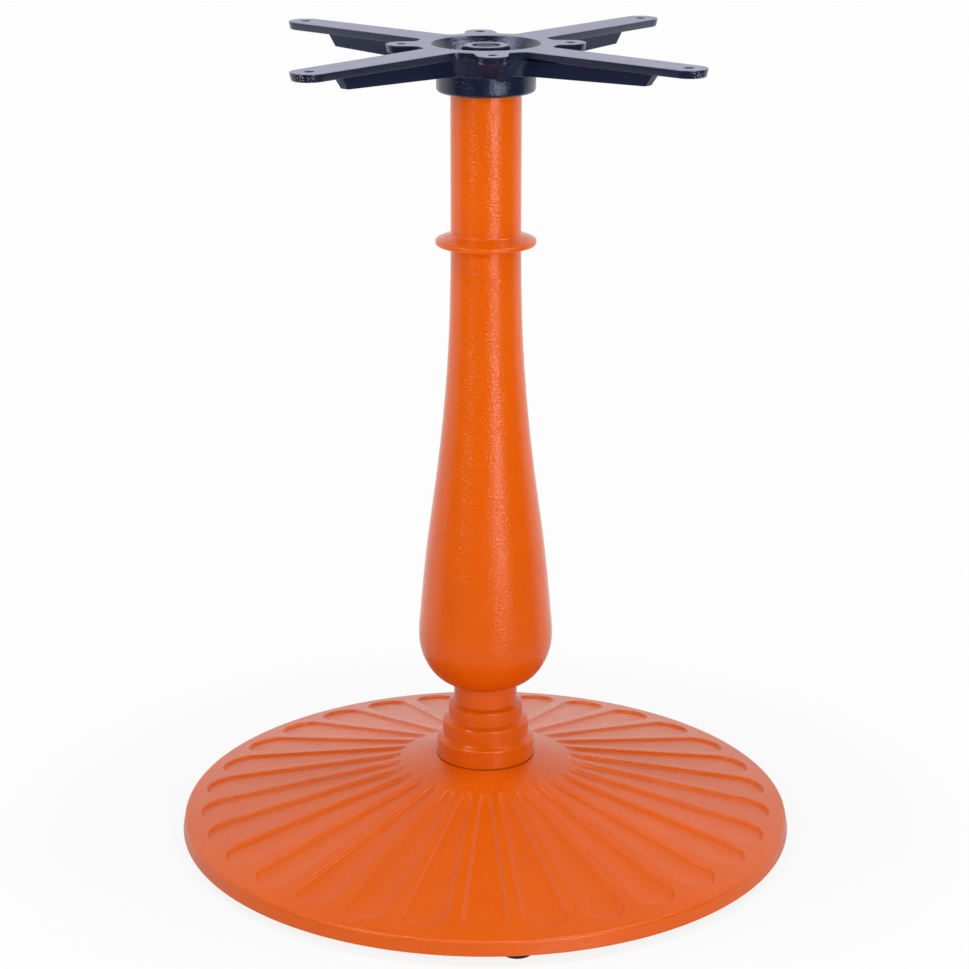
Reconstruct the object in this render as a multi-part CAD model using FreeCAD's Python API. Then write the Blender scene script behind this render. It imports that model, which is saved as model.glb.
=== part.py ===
import FreeCAD, Part
import math
import os

from FreeCAD import Vector

# Pedestal table base: a fluted cone base, a turned column and a ribbed top spider,
# all clamped together by one tie rod. Millimetres, +Z up, floor at z = 0, column axis on Z.

# Levels on the column axis
TOP_Z = 720.0
SOCKET_TOP_Z = 693.5
COLLAR_BOTTOM_Z = 679.4
RIM_Z = 8.6

# Base plate
RIM_R = 277.4
RIM_TOP_R = 275.0
RIM_EDGE_ROUND = 3.0
RIM_LAND = 12.0
RIM_INNER_DRAFT = 3.0
CONE_APEX_Z = 83.55
CONE_SLOPE = 0.2261
SHELL = 8.2
HUB_R = 37.0
HUB_BOTTOM_Z = 48.0
HUB_DRAFT = 3.0
HUB_ROOT_ROUND = 6.0
ROD_HOLE_R = 13.0
SEAT_R = 44.6
BASE_TURN = 1.87

# Flutes in the base plate
FLUTE_COUNT = 30
FLUTE_INNER_R = 75.0
FLUTE_OUTER_R = 260.5
FLUTE_INNER_ROUND = 5.3
FLUTE_OUTER_ROUND = 19.3
FLUTE_DEPTH = 2.4
FLUTE_WALL = 2.6
FLUTE_TOOL_ABOVE = 1.0

# Levelling feet
FOOT_COUNT = 4
FOOT_AT_R = 252.0
FOOT_PAD_R = 14.0
FOOT_PAD_DRAFT = 0.6
FOOT_PAD_SOLE = 2.4
FOOT_PAD_EDGE = 0.7
FOOT_PAD_CROWN = 1.6
FOOT_PAD_TOP_R = 10.5
FOOT_BOSS_R = 15.5
FOOT_BOSS_Z = 9.6
FOOT_STUD_R = 5.0
FOOT_STUD_FROM_Z = 3.0
FOOT_STUD_TOP_Z = 20.6
FOOT_STUD_CHAMFER = 1.2
FOOT_HOLE_TOP_Z = 21.2
THREAD_PLAY = 0.05

# Column, from the foot upwards
FOOT_R = 44.0
FOOT_EDGE = 0.6
FOOT_STEPS = ((FOOT_R, 90.7), (39.1, 108.1), (33.7, 123.1))
STEP_RISE = 2.5
STEP_EDGE_ROUND = 1.5
NECK_R = 28.5
NECK_TOP_Z = 143.2
BULB = ((41.0, 149.3), (49.8, 158.0), (55.5, 168.0), (58.9, 178.5), (60.0, 190.0))
VASE = ((58.8, 211.0), (53.2, 268.0), (44.2, 336.0), (36.8, 402.0), (32.3, 467.0))
TUBE_R = 30.5
TUBE_WALL = 6.5
RING_R = 43.7
RING_BOTTOM_Z = 547.3
RING_EDGE_Z = 551.5
RING_TOP_Z = 557.0
RING_ROUND = 1.5
COLUMN_BORE_R = 21.5
SMOOTH_TOLERANCE = 0.15

# Top spider
ARM_HOLE_AT_R = 212.6
ARM_HOLE_R = 4.0
ARM_TIP_ROUND = 15.75
ARM_ROOT_HALF = 18.0
LUG_HOLE_AT_R = 71.5
LUG_HOLE_R = 3.9
LUG_TIP_ROUND = 13.5
LUG_ROOT_HALF = 18.5
ARM_COUNT = 4
PLATE = 7.0
PLATE_DRAFT = 1.6
HUB_PLATE_R = 60.0
CORNER_ROUND = 8.0
DISH_R = 46.5
DISH_LIP = 1.5
DISH_FLOOR_R = 34.0
DISH_FLOOR_Z = 702.5
DISH_FLOOR_ROUND = 5.0
SPIDER_COLLAR_R = 42.8
SPIDER_COLLAR_TOP_Z = 696.6
COLLAR_DRAFT = 0.5
COLLAR_FOOT_ROUND = 3.0
SOCKET_PLAY = 0.3
RIB_END_R = 181.0
RIB_END_SLANT = 8.3
RIB_TIP_Z = 701.3
RIB_HALF_TOP = 5.5
RIB_HALF_BOTTOM = 4.2
GUSSET_HALF_TOP = 11.5
GUSSET_HALF_BOTTOM = 5.4
GUSSET_TOP_R = 64.0

# Tie rod and its fastenings
ROD_R = 11.95
ROD_SHANK_R = 11.0
ROD_THREAD = 60.0
ROD_CHAMFER = 3.0
NUT_BORE_R = 12.0
NUT_FLATS = 36.0
NUT_SIDES = 6
NUT_FACE_R = 17.5
NUT_MOUTH = 1.0
NUT_CHAMFER_ANGLE = 30.0
TOP_NUT = 12.0
BOTTOM_NUT = 21.5
TOP_WASHER = 4.0
TOP_WASHER_R = 22.0
BOTTOM_WASHER = 5.0
BOTTOM_WASHER_R = 30.0
WASHER_BORE_R = 12.5
WASHER_EDGE = 0.6
ROD_END_BELOW_NUT = 0.6
ROD_END_PAST_NUT = 4.0

AXIS = Vector(0, 0, 1)
ORIGIN = Vector(0, 0, 0)


def point(radius, height):
    """A point of a profile in the XZ plane."""
    return Vector(radius, 0, height)


def cone_z(radius):
    """Height of the base plate's top surface."""
    return CONE_APEX_Z - CONE_SLOPE * radius


def rounded_path(corners):
    """Edges through (radius, height, rounding) corners, open, with arcs at rounded corners."""
    edges = []
    start = point(corners[0][0], corners[0][1])
    for index in range(1, len(corners)):
        radius, height, rounding = corners[index]
        corner = point(radius, height)
        leave = corner
        if rounding > 0 and index < len(corners) - 1:
            back = (start - corner).normalize()
            ahead = (point(corners[index + 1][0], corners[index + 1][1]) - corner).normalize()
            half = back.getAngle(ahead) / 2
            reach = rounding / math.tan(half)
            middle = (back + ahead).normalize() * (rounding / math.sin(half) - rounding)
            arrive = corner + back * reach
            leave = corner + ahead * reach
            edges.append(Part.LineSegment(start, arrive).toShape())
            edges.append(Part.Arc(arrive, corner + middle, leave).toShape())
        else:
            edges.append(Part.LineSegment(start, corner).toShape())
        start = leave
    return edges


def smooth_path(points):
    """A smooth line of tangent arcs that follows the curve through (radius, height) points."""
    curve = Part.BSplineCurve()
    curve.interpolate([point(radius, height) for radius, height in points])
    return [arc.toShape() for arc in curve.toBiArcs(SMOOTH_TOLERANCE)]


def turned(edges):
    """A solid of revolution about the column axis from a closed profile."""
    return Part.Face(Part.Wire(edges)).revolve(ORIGIN, AXIS, 360)


def turned_corners(corners):
    """A solid of revolution from a closed list of (radius, height, rounding) corners."""
    return turned(rounded_path(list(corners) + [corners[0][:2] + (0,)]))


def around(shape, count, first_angle=0.0):
    """Copies of a shape spaced evenly about the column axis."""
    copies = []
    for index in range(count):
        copy = shape.copy()
        copy.rotate(ORIGIN, AXIS, first_angle + index * 360.0 / count)
        copies.append(copy)
    return copies


def tapered_slot(inner, inner_round, outer, outer_round, height):
    """Closed outline along +X: two round ends of unlike radius joined by tangent lines."""
    lean = math.asin((outer_round - inner_round) / (outer - inner))
    up = Vector(-math.sin(lean), math.cos(lean), 0)
    down = Vector(up.x, -up.y, 0)
    near = Vector(inner, 0, height)
    far = Vector(outer, 0, height)
    edges = [
        Part.LineSegment(near + up * inner_round, far + up * outer_round).toShape(),
        Part.Arc(far + up * outer_round, far + Vector(outer_round, 0, 0), far + down * outer_round).toShape(),
        Part.LineSegment(far + down * outer_round, near + down * inner_round).toShape(),
        Part.Arc(near + down * inner_round, near - Vector(inner_round, 0, 0), near + up * inner_round).toShape(),
    ]
    return Part.Wire(edges)


def flute_tool():
    """What one flute takes out of the base plate: a tapered slot with sloped walls, laid on the cone."""
    lean = math.atan(CONE_SLOPE)
    inner = FLUTE_INNER_R / math.cos(lean) + FLUTE_INNER_ROUND
    outer = FLUTE_OUTER_R / math.cos(lean) - FLUTE_OUTER_ROUND
    flare = FLUTE_WALL / FLUTE_DEPTH
    wires = []
    for height in (-FLUTE_DEPTH, FLUTE_TOOL_ABOVE):
        grow = flare * height
        wires.append(tapered_slot(inner, FLUTE_INNER_ROUND + grow, outer, FLUTE_OUTER_ROUND + grow, height))
    tool = Part.makeLoft(wires, True, True)
    tool.rotate(ORIGIN, Vector(0, 1, 0), math.degrees(lean))
    tool.translate(Vector(0, 0, CONE_APEX_Z))
    return tool


def base_plate():
    """Round base: a cone shell with a rim, a hub for the tie rod, flutes on top and bosses for the feet."""
    hub_root_r = HUB_R + HUB_DRAFT
    inside_r = RIM_R - RIM_LAND
    inside_top_r = inside_r - RIM_INNER_DRAFT
    shell = turned_corners([
        (RIM_R, RIM_Z, 0),
        (RIM_TOP_R, cone_z(RIM_TOP_R), RIM_EDGE_ROUND),
        (SEAT_R, cone_z(SEAT_R), 0),
        (ROD_HOLE_R, cone_z(SEAT_R), 0),
        (ROD_HOLE_R, HUB_BOTTOM_Z, 0),
        (HUB_R, HUB_BOTTOM_Z, 0),
        (hub_root_r, cone_z(hub_root_r) - SHELL, HUB_ROOT_ROUND),
        (inside_top_r, cone_z(inside_top_r) - SHELL, 0),
        (inside_r, RIM_Z, 0),
    ])
    boss_top = cone_z(FOOT_AT_R + FOOT_BOSS_R) - SHELL / 2
    boss = Part.makeCylinder(FOOT_BOSS_R, boss_top - FOOT_BOSS_Z, Vector(FOOT_AT_R, 0, FOOT_BOSS_Z))
    hole = Part.makeCylinder(FOOT_STUD_R + THREAD_PLAY, FOOT_HOLE_TOP_Z - RIM_Z, Vector(FOOT_AT_R, 0, RIM_Z))
    plate = shell.fuse(around(boss, FOOT_COUNT, BASE_TURN))
    plate = plate.cut(around(flute_tool(), FLUTE_COUNT, BASE_TURN))
    plate = plate.cut(around(hole, FOOT_COUNT, BASE_TURN))
    return plate.removeSplitter()


def column():
    """Hollow column in one casting: stepped foot, neck, bulb and vase, ring collar and tube."""
    seat_z = cone_z(SEAT_R)
    foot = [(COLUMN_BORE_R, seat_z, 0), (FOOT_R - FOOT_EDGE, seat_z, 0), (FOOT_R, seat_z + FOOT_EDGE, 0)]
    inner_rs = [step[0] for step in FOOT_STEPS[1:]] + [NECK_R]
    for (step_r, step_z), next_r in zip(FOOT_STEPS, inner_rs):
        foot.append((step_r, step_z, STEP_EDGE_ROUND))
        foot.append((next_r, step_z + STEP_RISE, 0))
    foot.append((NECK_R, NECK_TOP_Z, 0))
    body = ((NECK_R, NECK_TOP_Z),) + BULB + VASE + ((TUBE_R, RING_BOTTOM_Z),)
    ring_and_tube = [
        (TUBE_R, RING_BOTTOM_Z, 0),
        (RING_R, RING_BOTTOM_Z, RING_ROUND),
        (RING_R, RING_EDGE_Z, RING_ROUND),
        (TUBE_R, RING_TOP_Z, 0),
        (TUBE_R, SOCKET_TOP_Z, 0),
        (TUBE_R - TUBE_WALL, SOCKET_TOP_Z, 0),
        (TUBE_R - TUBE_WALL, VASE[-1][1], 0),
    ]
    core = [(radius - TUBE_WALL, height, 0) for radius, height in reversed((BULB[-1],) + VASE[1:-1])]
    bore = [(COLUMN_BORE_R, NECK_TOP_Z + 2 * TUBE_WALL, 0), (COLUMN_BORE_R, seat_z, 0)]
    return turned(rounded_path(foot) + smooth_path(body) + rounded_path(ring_and_tube + core + bore))


def plate_tongue(root_half, tip_round, tip_r):
    """A flat tongue from the spider's middle to a round tip, with drafted sides."""
    wires = []
    for height, inset in ((TOP_Z - PLATE, PLATE_DRAFT), (TOP_Z, 0)):
        wires.append(tapered_slot(0, root_half - inset, tip_r, tip_round - inset, height))
    return Part.makeLoft(wires, True, True)


def upright_rib(profile, half_top, half_bottom, top_z, bottom_z):
    """A rib under a tongue: its side profile in XZ, its sides leaning in towards the bottom."""
    reach = max(radius for radius, height in profile)
    block = Part.makePolygon([point(*corner) for corner in profile + profile[:1]])
    slab = Part.Face(block).extrude(Vector(0, 2 * half_top, 0))
    slab.translate(Vector(0, -half_top, 0))
    section = [
        Vector(0, -half_bottom, bottom_z),
        Vector(0, half_bottom, bottom_z),
        Vector(0, half_top, top_z),
        Vector(0, -half_top, top_z),
    ]
    wedge = Part.Face(Part.makePolygon(section + section[:1])).extrude(Vector(reach + half_top, 0, 0))
    return slab.common(wedge)


def is_inner_corner(edge):
    """True for the upright edges where an arm or a lug meets the hub's rim."""
    middle = edge.valueAt((edge.FirstParameter + edge.LastParameter) / 2)
    upright = abs(edge.Vertexes[0].Z - edge.Vertexes[-1].Z) > PLATE / 2
    return upright and abs(math.hypot(middle.x, middle.y) - HUB_PLATE_R) < PLATE_DRAFT


def top_spider():
    """Spider for the table top: arms and lugs round a dish, ribs below, and a collar for the column."""
    arm = plate_tongue(ARM_ROOT_HALF, ARM_TIP_ROUND, ARM_HOLE_AT_R)
    lug = plate_tongue(LUG_ROOT_HALF, LUG_TIP_ROUND, LUG_HOLE_AT_R)
    plate_z = TOP_Z - PLATE / 2
    rib_profile = [
        (0, plate_z),
        (RIB_END_R, plate_z),
        (RIB_END_R, TOP_Z - PLATE),
        (RIB_END_R - RIB_END_SLANT, RIB_TIP_Z),
        (SPIDER_COLLAR_R, SPIDER_COLLAR_TOP_Z),
        (0, SPIDER_COLLAR_TOP_Z),
    ]
    rib = upright_rib(rib_profile, RIB_HALF_TOP, RIB_HALF_BOTTOM, plate_z, SPIDER_COLLAR_TOP_Z)
    gusset_profile = [
        (0, plate_z),
        (GUSSET_TOP_R, plate_z),
        (GUSSET_TOP_R, TOP_Z - PLATE),
        (SPIDER_COLLAR_R + COLLAR_DRAFT, SPIDER_COLLAR_TOP_Z),
        (0, SPIDER_COLLAR_TOP_Z),
    ]
    gusset = upright_rib(
        gusset_profile, GUSSET_HALF_TOP, GUSSET_HALF_BOTTOM, plate_z, SPIDER_COLLAR_TOP_Z)
    hub = turned_corners([
        (0, COLLAR_BOTTOM_Z, 0),
        (SPIDER_COLLAR_R - COLLAR_DRAFT, COLLAR_BOTTOM_Z, COLLAR_FOOT_ROUND),
        (SPIDER_COLLAR_R, SPIDER_COLLAR_TOP_Z, 0),
        (HUB_PLATE_R - PLATE_DRAFT, TOP_Z - PLATE, 0),
        (HUB_PLATE_R, TOP_Z, 0),
        (0, TOP_Z, 0),
    ])
    eighth = 180.0 / ARM_COUNT
    tongues = around(arm, ARM_COUNT, eighth) + around(lug, ARM_COUNT)
    plate = hub.fuse(tongues).removeSplitter()
    inner_corners = [edge for edge in plate.Edges if is_inner_corner(edge)]
    plate = plate.makeFillet(CORNER_ROUND, inner_corners)
    body = plate.fuse(around(rib, ARM_COUNT, eighth) + around(gusset, ARM_COUNT)).removeSplitter()
    dish = turned_corners([
        (0, DISH_FLOOR_Z, 0),
        (DISH_FLOOR_R, DISH_FLOOR_Z, DISH_FLOOR_ROUND),
        (DISH_R - DISH_LIP / 2, TOP_Z - DISH_LIP, 0),
        (DISH_R + DISH_LIP / 2, TOP_Z + DISH_LIP, 0),
        (0, TOP_Z + DISH_LIP, 0),
    ])
    socket_depth = SOCKET_TOP_Z - COLLAR_BOTTOM_Z
    socket = Part.makeCylinder(TUBE_R + SOCKET_PLAY, socket_depth, point(0, COLLAR_BOTTOM_Z))
    rod_hole = Part.makeCylinder(ROD_HOLE_R, TOP_Z - COLLAR_BOTTOM_Z, point(0, COLLAR_BOTTOM_Z))
    arm_hole = Part.makeCylinder(ARM_HOLE_R, TOP_Z, point(ARM_HOLE_AT_R, 0))
    lug_hole = Part.makeCylinder(LUG_HOLE_R, TOP_Z, point(LUG_HOLE_AT_R, 0))
    holes = around(arm_hole, ARM_COUNT, eighth) + around(lug_hole, ARM_COUNT)
    return body.cut([dish, socket, rod_hole] + holes).removeSplitter()


def washer(radius, thickness, bottom_z):
    """A flat ring with slightly broken edges."""
    return turned_corners([
        (WASHER_BORE_R, bottom_z, 0),
        (radius - WASHER_EDGE, bottom_z, 0),
        (radius, bottom_z + WASHER_EDGE, 0),
        (radius, bottom_z + thickness - WASHER_EDGE, 0),
        (radius - WASHER_EDGE, bottom_z + thickness, 0),
        (WASHER_BORE_R, bottom_z + thickness, 0),
    ])


def hex_nut(height, bottom_z):
    """A hexagon nut with both faces chamfered to a circle and the bore eased."""
    corner_r = NUT_FLATS / math.sqrt(3)
    corners = []
    for index in range(NUT_SIDES + 1):
        angle = math.radians(index * 360.0 / NUT_SIDES)
        corners.append(Vector(corner_r * math.cos(angle), corner_r * math.sin(angle), bottom_z))
    block = Part.Face(Part.makePolygon(corners)).extrude(Vector(0, 0, height))
    lean = (corner_r - NUT_FACE_R) * math.tan(math.radians(NUT_CHAMFER_ANGLE))
    envelope = turned_corners([
        (NUT_BORE_R, bottom_z + NUT_MOUTH, 0),
        (NUT_BORE_R + NUT_MOUTH, bottom_z, 0),
        (NUT_FACE_R, bottom_z, 0),
        (corner_r, bottom_z + lean, 0),
        (corner_r, bottom_z + height - lean, 0),
        (NUT_FACE_R, bottom_z + height, 0),
        (NUT_BORE_R + NUT_MOUTH, bottom_z + height, 0),
        (NUT_BORE_R, bottom_z + height - NUT_MOUTH, 0),
    ])
    return block.common(envelope)


def tie_rod(bottom_z, top_z):
    """The rod through the column: two threaded ends on a slimmer shank, ends chamfered."""
    return turned_corners([
        (0, bottom_z, 0),
        (ROD_R - ROD_CHAMFER, bottom_z, 0),
        (ROD_R, bottom_z + ROD_CHAMFER, 0),
        (ROD_R, bottom_z + ROD_THREAD, 0),
        (ROD_SHANK_R, bottom_z + ROD_THREAD + ROD_CHAMFER, 0),
        (ROD_SHANK_R, top_z - ROD_THREAD - ROD_CHAMFER, 0),
        (ROD_R, top_z - ROD_THREAD, 0),
        (ROD_R, top_z - ROD_CHAMFER, 0),
        (ROD_R - ROD_CHAMFER, top_z, 0),
        (0, top_z, 0),
    ])


def foot_pad():
    """The round pad of one levelling foot, with a blind hole for its stud."""
    return turned_corners([
        (0, 0, 0),
        (FOOT_PAD_R - FOOT_PAD_DRAFT - FOOT_PAD_EDGE, 0, 0),
        (FOOT_PAD_R - FOOT_PAD_DRAFT, FOOT_PAD_EDGE, 0),
        (FOOT_PAD_R, FOOT_PAD_SOLE, 0),
        (FOOT_PAD_R, FOOT_BOSS_Z - FOOT_PAD_CROWN, 0),
        (FOOT_PAD_TOP_R, FOOT_BOSS_Z, 0),
        (FOOT_STUD_R, FOOT_BOSS_Z, 0),
        (FOOT_STUD_R, FOOT_STUD_FROM_Z, 0),
        (0, FOOT_STUD_FROM_Z, 0),
    ])


def foot_stud():
    """The threaded stud of one levelling foot."""
    return turned_corners([
        (0, FOOT_STUD_FROM_Z, 0),
        (FOOT_STUD_R, FOOT_STUD_FROM_Z, 0),
        (FOOT_STUD_R, FOOT_STUD_TOP_Z - FOOT_STUD_CHAMFER, 0),
        (FOOT_STUD_R - FOOT_STUD_CHAMFER, FOOT_STUD_TOP_Z, 0),
        (0, FOOT_STUD_TOP_Z, 0),
    ])


def build():
    """All pieces by name, each in its place."""
    top_washer_z = DISH_FLOOR_Z
    top_nut_z = top_washer_z + TOP_WASHER
    bottom_washer_z = HUB_BOTTOM_Z - BOTTOM_WASHER
    bottom_nut_z = bottom_washer_z - BOTTOM_NUT
    rod_top = top_nut_z + TOP_NUT - ROD_END_BELOW_NUT
    rod_bottom = bottom_nut_z - ROD_END_PAST_NUT
    pieces = {
        "base_plate": base_plate(),
        "column": column(),
        "top_spider": top_spider(),
        "tie_rod": tie_rod(rod_bottom, rod_top),
        "top_washer": washer(TOP_WASHER_R, TOP_WASHER, top_washer_z),
        "top_nut": hex_nut(TOP_NUT, top_nut_z),
        "bottom_washer": washer(BOTTOM_WASHER_R, BOTTOM_WASHER, bottom_washer_z),
        "bottom_nut": hex_nut(BOTTOM_NUT, bottom_nut_z),
    }
    sides = ("right", "back", "left", "front")
    for name, shape in (("foot_pad", foot_pad()), ("foot_stud", foot_stud())):
        shape.translate(Vector(FOOT_AT_R, 0, 0))
        for side, copy in zip(sides, around(shape, FOOT_COUNT, BASE_TURN)):
            pieces[name + "_" + side] = copy
    return pieces


os.makedirs("parts", exist_ok=True)
for node, shape in build().items():
    shape.exportStep(os.path.join("parts", node + ".step"))
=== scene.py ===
"""Looks of a cast-iron pedestal table base: a fluted cone, a turned column and a ribbed top spider.

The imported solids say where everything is. This script makes the surfaces around them: soft cast edges,
threads, powder coat, black paint, plated steel and nylon, on a pale floor under soft studio light.
"""

from __future__ import annotations

import logging
import math
from dataclasses import dataclass
from enum import Enum
from typing import Any, Sequence, Union

import bmesh
import bpy
import numpy as np
from mathutils import Matrix, Vector

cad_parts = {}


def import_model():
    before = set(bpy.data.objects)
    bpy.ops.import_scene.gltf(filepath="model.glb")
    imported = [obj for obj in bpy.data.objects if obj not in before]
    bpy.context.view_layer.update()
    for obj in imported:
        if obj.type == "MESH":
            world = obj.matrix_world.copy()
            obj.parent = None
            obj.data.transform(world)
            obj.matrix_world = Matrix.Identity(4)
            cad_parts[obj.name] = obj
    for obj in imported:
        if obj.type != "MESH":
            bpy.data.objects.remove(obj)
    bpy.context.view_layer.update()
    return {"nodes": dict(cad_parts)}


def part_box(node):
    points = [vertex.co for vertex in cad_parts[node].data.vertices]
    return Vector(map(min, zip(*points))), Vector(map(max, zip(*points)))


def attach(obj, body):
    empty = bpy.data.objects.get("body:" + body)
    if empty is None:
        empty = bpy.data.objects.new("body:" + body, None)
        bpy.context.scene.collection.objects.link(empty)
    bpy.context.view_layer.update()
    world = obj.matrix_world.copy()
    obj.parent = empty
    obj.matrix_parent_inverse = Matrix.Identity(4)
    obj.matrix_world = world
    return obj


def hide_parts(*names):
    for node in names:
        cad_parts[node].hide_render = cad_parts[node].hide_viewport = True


LOG = logging.getLogger("pedestal")
MM = 0.001
STAND = "stand"
WELD = 0.002 * MM
SLIVER = 0.001 * MM

# Sizes that several classes share, in millimetres and degrees
CONE_APEX_Z = 83.55
CONE_SLOPE = 0.2261
SEAT_R = 44.6
BASE_TURN_DEG = 1.87
FOOT_AT_R = 252.0

Colour = tuple[float, float, float, float]
Point = tuple[float, float, float]
Number = Union[float, int, "Socket"]


class Slot(Enum):
    """The record's material slots."""

    ORANGE_COAT = "orange_powder_coat"
    BLACK_PAINT = "black_paint"
    BLACK_STEEL = "blackened_steel"
    ZINC_STEEL = "zinc_steel"
    NYLON = "foot_plastic"


class Side(Enum):
    """Where a levelling foot stands, by its quarter turn round the column."""

    RIGHT = 0
    BACK = 1
    LEFT = 2
    FRONT = 3


class Socket:
    """A node's output that can be used in Python expressions."""

    def __init__(self, graph: Graph, output: bpy.types.NodeSocket) -> None:
        """Wraps one output.

        Args:
            graph: the node tree that it belongs to.
            output: the socket itself.
        """
        self.graph = graph
        self.output = output

    def sibling(self, name: str) -> Socket:
        """Another output of the same node, by name."""
        return Socket(self.graph, self.output.node.outputs[name])

    def __add__(self, other: Number) -> Socket:
        """Sum."""
        return self.graph.math("ADD", self, other)

    __radd__ = __add__

    def __sub__(self, other: Number) -> Socket:
        """Difference."""
        return self.graph.math("SUBTRACT", self, other)

    def __rsub__(self, other: Number) -> Socket:
        """Difference from a number."""
        return self.graph.math("SUBTRACT", other, self)

    def __mul__(self, other: Number) -> Socket:
        """Product."""
        return self.graph.math("MULTIPLY", self, other)

    __rmul__ = __mul__

    def __truediv__(self, other: Number) -> Socket:
        """Quotient."""
        return self.graph.math("DIVIDE", self, other)

    def __rtruediv__(self, other: Number) -> Socket:
        """Quotient of a number."""
        return self.graph.math("DIVIDE", other, self)

    def __pow__(self, other: Number) -> Socket:
        """Power."""
        return self.graph.math("POWER", self, other)

    def __mod__(self, other: Number) -> Socket:
        """Remainder, always positive."""
        return self.graph.math("FLOORED_MODULO", self, other)

    def __gt__(self, other: Number) -> Socket:
        """1 where larger, else 0."""
        return self.graph.math("GREATER_THAN", self, other)

    def __lt__(self, other: Number) -> Socket:
        """1 where smaller, else 0."""
        return self.graph.math("LESS_THAN", self, other)

    def __abs__(self) -> Socket:
        """Distance from zero."""
        return self.graph.math("ABSOLUTE", self)


class Graph:
    """A node tree, of shader or geometry nodes, that is written as expressions."""

    def __init__(self, tree: bpy.types.NodeTree) -> None:
        """Takes over an empty node tree."""
        self.tree = tree

    def node(
        self,
        kind: str,
        settings: dict[str, Any] | None = None,
        inputs: dict[str | int, Any] | None = None,
        output: str | int = 0,
    ) -> Socket:
        """Adds a node of any kind.

        Args:
            kind: the node's type.
            settings: its properties, set first.
            inputs: values or links of its sockets, by name or number.
            output: which output to return.

        Returns:
            That output, wrapped.
        """
        made = self.tree.nodes.new(kind)
        for name, value in (settings or {}).items():
            setattr(made, name, value)
        for key, value in (inputs or {}).items():
            for each in value if isinstance(value, list) else [value]:
                self.feed(made.inputs[key], each)
        return Socket(self, made.outputs[output])

    def end(self, kind: str, value: Socket) -> None:
        """Ends the tree in an output node of this type."""
        self.feed(self.tree.nodes.new(kind).inputs[0], value)

    def feed(self, socket: bpy.types.NodeSocket, value: Any) -> None:
        """Links a wrapped output to a socket, or sets the socket's own value.

        Args:
            socket: the input.
            value: a wrapped output, or a plain value.
        """
        if isinstance(value, Socket):
            self.tree.links.new(value.output, socket)
        else:
            socket.default_value = value

    def math(self, operation: str, *values: Number) -> Socket:
        """A Math node on numbers or sockets."""
        return self.node("ShaderNodeMath", {"operation": operation}, dict(enumerate(values)))

    def ramp(self, value: Number, low: Number, high: Number, smooth: bool = False) -> Socket:
        """Spreads a value between two limits.

        Args:
            value: the value.
            low: where the result is 0, and below.
            high: where the result is 1, and above.
            smooth: whether it eases in and out between them, or runs straight.

        Returns:
            The spread value.
        """
        kind = "SMOOTHSTEP" if smooth else "LINEAR"
        inputs = {"Value": value, "From Min": low, "From Max": high}
        return self.node("ShaderNodeMapRange", {"interpolation_type": kind, "clamp": True}, inputs)

    def vector(self, x: Number, y: Number, z: Number) -> Socket:
        """A vector from three numbers."""
        return self.node("ShaderNodeCombineXYZ", inputs={"X": x, "Y": y, "Z": z})

    def parts(self, vector: Socket) -> tuple[Socket, Socket, Socket]:
        """The three numbers of a vector."""
        x = self.node("ShaderNodeSeparateXYZ", inputs={0: vector})
        return x, x.sibling("Y"), x.sibling("Z")

    def mix_colour(self, share: Number, first: Any, second: Any) -> Socket:
        """The first colour where share is 0, the second where it is 1."""
        inputs = {0: share, 6: first, 7: second}
        return self.node("ShaderNodeMix", {"data_type": "RGBA"}, inputs, output=2)

    def noise(
        self, place: Socket, size: float, detail: float = 2.0, rough: float = 0.5, warp: float = 0.0
    ) -> Socket:
        """Soft noise whose grains are about this large, in metres, and bent by this much."""
        return self.node("ShaderNodeTexNoise", inputs={
            "Vector": place, "Scale": 1.0 / size, "Detail": detail, "Roughness": rough, "Distortion": warp})

    def bump(self, height: Socket) -> Socket:
        """The normal of a surface with this relief, in metres."""
        return self.node("ShaderNodeBump", inputs={"Strength": 1.0, "Distance": 1.0, "Height": height})

    def away(self, x: Socket, y: Socket) -> Socket:
        """Distance from the upright axis."""
        return self.math("SQRT", x * x + y * y)

    def near(self, place: Socket, centre: Sequence[float], reach: float) -> Socket:
        """How near a place is to a point of the object.

        Args:
            place: the place.
            centre: the point.
            reach: how far from the point the result falls to 0.

        Returns:
            1 at the point, fading to 0.
        """
        settings = {"operation": "DISTANCE"}
        away = self.node("ShaderNodeVectorMath", settings, {0: place, 1: tuple(centre)}, "Value")
        return 1 - self.ramp(away, 0.0, reach, smooth=True)


def new_material(name: str) -> tuple[bpy.types.Material, Graph]:
    """A new material with an empty node tree.

    Args:
        name: the material's name.

    Returns:
        The material, and its tree to build in.
    """
    material = bpy.data.materials.new(name)
    material.use_nodes = True
    material.node_tree.nodes.clear()
    return material, Graph(material.node_tree)


class Finish:
    """What every finish shares: a material whose shader follows the place on the object. Metres."""

    name: str

    def shader(self, graph: Graph, place: Socket) -> Socket:
        """The shader, which each finish makes in its own way."""
        raise NotImplementedError

    def material(self) -> bpy.types.Material:
        """Builds the material.

        Returns:
            The material.
        """
        material, graph = new_material(self.name)
        place = graph.node("ShaderNodeTexCoord", output="Object")
        graph.end("ShaderNodeOutputMaterial", self.shader(graph, place))
        return material


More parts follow.
